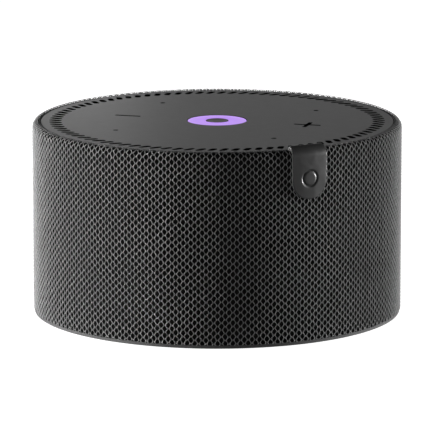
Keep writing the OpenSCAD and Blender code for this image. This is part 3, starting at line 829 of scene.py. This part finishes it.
def tag_thickness(t, s, width, outer):
    """Half the strap's thickness at t across it and s up from its end: thin at the edges, with the sunk
    ring in its outer face."""
    half = TAG_W / 2
    near = min(width - abs(t), min(s, half))
    thick = TAG_T / 2 * (1 - TAG_THIN * max(0.0, 1 - near / TAG_EDGE) ** 2)
    if outer:
        from_ring = abs(math.hypot(t, s - half - 0.4 * MM) - MARK_R)
        thick -= MARK_SUNK * min(1.0, MARK_WALL * max(0.0, 1 - from_ring / MARK_HALF_W))
    return thick


def tag():
    """The strap over the rim: a round end, a bend over the shoulder and a tail beside the plate."""
    path = tag_path()
    centres = np.array([p for p, _ in path])
    steps = np.r_[0, np.cumsum(np.hypot(*np.diff(centres, axis=0).T))]
    half = TAG_W / 2
    ring = 2 * (TAG_ACROSS + 1)
    vertices, faces = [], []
    for (centre, out), s in zip(path, steps):
        width = half if s >= half else math.sqrt(max(half ** 2 - (half - s) ** 2, (0.12 * MM) ** 2))
        for side in (1, -1):
            for j in range(TAG_ACROSS + 1):
                u = (j / TAG_ACROSS * 2 - 1) * side
                t = width * math.sin(u * TAG_CROWD) / math.sin(TAG_CROWD)
                lift = side * tag_thickness(t, s, width, side > 0)
                r, z = centre[0] + out[0] * lift, centre[1] + out[1] * lift
                angle = TAG_ANGLE + t / TAG_R
                vertices.append((r * math.cos(angle), r * math.sin(angle), z))
    for i in range(len(steps) - 1):
        for j in range(ring):
            a, b = i * ring + j, i * ring + (j + 1) % ring
            faces.append((a, b, b + ring, a + ring))
    walls = len(faces)
    faces.append(tuple(reversed(range(ring))))
    faces.append(tuple(range(walls, walls + ring)))
    ob = piece("rim_tag", vertices, faces)
    ob.data.materials.append(finish_for("tag_rubber"))
    ob.data.materials.append(painted_highlight_edge())
    # the faces nearest each edge of the strap take the paler painted highlight
    for n, face in enumerate(ob.data.polygons):
        j = n % ring
        from_edge = min(j, abs(j - TAG_ACROSS), ring - 1 - j)
        face.material_index = int(n < walls and from_edge < PAINTED_HIGHLIGHT_FACES and j != TAG_ACROSS * 2)
    stand_for(mended(ob), "housing", "tag")


# ---------- speaker parts that flex ----------

def flexing(node, slot):
    """A ring that joins the basket to the cone: a smooth copy of its CAD mesh, with its transform baked in.
    """
    ob = copied(node, node + "_flexing")
    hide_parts(node)
    dress(ob, finish_for(slot))
    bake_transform(ob)


# ---------- assembly ----------

ROUNDED = {                     # CAD nodes that get rounded edges: their body and the rounding
    "io_panel": ("housing", 0.25 * MM),
    "mute_slider": ("mute_slider", 0.12 * MM),
    "usb_shell": ("housing", 0.05 * MM),
    "base_cover": ("housing", 0.15 * MM),
    "rubber_foot": ("housing", 0.2 * MM),
    "audio_jack": ("housing", 0.12 * MM),
}


def build():
    """Every material, every piece that is made here, and what it stands for."""
    slots = {p["node"]: p["material_slot"] for p in frame["record"]["subparts"]}
    for node, ob in frame["nodes"].items():
        dress(ob, finish_for(slots[node]))
    top_plate()
    light()
    tag()
    cloth = backing_cloth()
    quarter = WALES // 4
    knit = [yarns(i * quarter, (i + 1) * quarter, f"knit_yarns_{i + 1}") for i in range(4)]
    for node, (body, bevel) in ROUNDED.items():
        dress(refined(node, body, bevel), finish_for(slots[node]))
    flexing("surround", slots["surround"])
    flexing("spider", slots["spider"])


# ---------- camera, floor and light ----------

VIEW_AZIMUTH = math.radians(16)
CAMERA_BACK = 1164.96 * MM
CAMERA_UP = 260.15 * MM
CAMERA_PITCH = math.radians(11.43)
LENS = 366.35
SHIFT_X = 0.0043
LIGHT_AIM = Vector((0, 0, 0.025))
LIGHTS = {                      # azimuth and elevation in degrees, distance and size in metres, watts
    "key_left": (-88, 2, 0.45, (0.2, 0.06), 6.6),
    "fill_right": (101, 1, 0.6, (0.3, 0.06), 9.5),
    "front_left": (-30, 2, 0.8, (0.3, 0.3), 2.1),
    "sheen_behind": (180, 12, 0.8, (0.4, 0.3), 0.36),
    "sheen_left": (-166, 18, 0.22, (0.05, 0.05), 0.014),
}
GLOSS_ONLY = ("sheen_behind", "sheen_left")
FLOOR_HALF = 6                  # metres
BACKDROP_T = 0.1


def towards(azimuth, elevation):
    """Direction from the object, with both angles in radians. Azimuth 0 is its front."""
    return Vector((math.sin(azimuth) * math.cos(elevation), -math.cos(azimuth) * math.cos(elevation),
                   math.sin(elevation)))


def camera():
    """A long lens at the height and the side that the hub is seen from."""
    data = bpy.data.cameras.new("camera")
    data.sensor_width = 36
    data.lens = LENS
    data.shift_x = SHIFT_X
    data.clip_start, data.clip_end = 0.05, 50
    cam = bpy.data.objects.new("camera", data)
    bpy.context.scene.collection.objects.link(cam)
    cam.location = (CAMERA_BACK * math.sin(VIEW_AZIMUTH), -CAMERA_BACK * math.cos(VIEW_AZIMUTH), CAMERA_UP)
    cam.rotation_mode = "QUATERNION"
    cam.rotation_quaternion = (-towards(VIEW_AZIMUTH, CAMERA_PITCH)).to_track_quat("-Z", "Y")
    bpy.context.scene.camera = cam


def softbox(name, azimuth, elevation, distance, size, power):
    """An area light aimed at the object, placed by the angle from which it shines. Azimuth 0 is the
    camera's side."""
    data = bpy.data.lights.new(name, "AREA")
    data.shape = "RECTANGLE"
    data.size, data.size_y = size
    data.energy = power
    ob = bpy.data.objects.new(name, data)
    bpy.context.scene.collection.objects.link(ob)
    back = towards(VIEW_AZIMUTH + math.radians(azimuth), math.radians(elevation))
    ob.location = LIGHT_AIM + back * distance
    ob.rotation_mode = "QUATERNION"
    ob.rotation_quaternion = back.to_track_quat("Z", "Y")
    return ob


def unseen_by_light(ob):
    """Leaves it to the camera alone, so that it sends no light onto the object."""
    ob.visible_diffuse = False
    ob.visible_glossy = False
    ob.visible_transmission = False
    ob.visible_shadow = False


def studio():
    """Plain pale floor and backdrop, and soft lights."""
    far = FLOOR_HALF
    floor = piece("floor", [(-far, -far, 0), (far, -far, 0), (far, far, 0), (-far, far, 0)], [(0, 1, 2, 3)],
                  smooth=False)
    near = far - BACKDROP_T
    wall = lathe("backdrop", [(near, -0.5), (far, -0.5), (far, far), (near, far)], 64)
    s = Shader("studio_paper", (0.35, 0.35, 0.35), 0.9, specular=0.1)
    s.tint(s.noise(0.4, 2), 0.01)
    s.set("Emission Color", (1, 1, 1, 1))
    s.set("Emission Strength", 1.0)
    for ob in (floor, wall):
        dress(ob, s.material)
        unseen_by_light(ob)
    world = bpy.data.worlds.new("studio")
    world.use_nodes = True
    world.node_tree.nodes["Background"].inputs["Color"].default_value = (1, 1, 1, 1)
    world.node_tree.nodes["Background"].inputs["Strength"].default_value = 0.05
    bpy.context.scene.world = world
    for name, values in LIGHTS.items():
        softbox(name, *values).visible_diffuse = name not in GLOSS_ONLY
    bpy.context.scene.view_settings.view_transform = "Standard"


camera()
build()
studio()
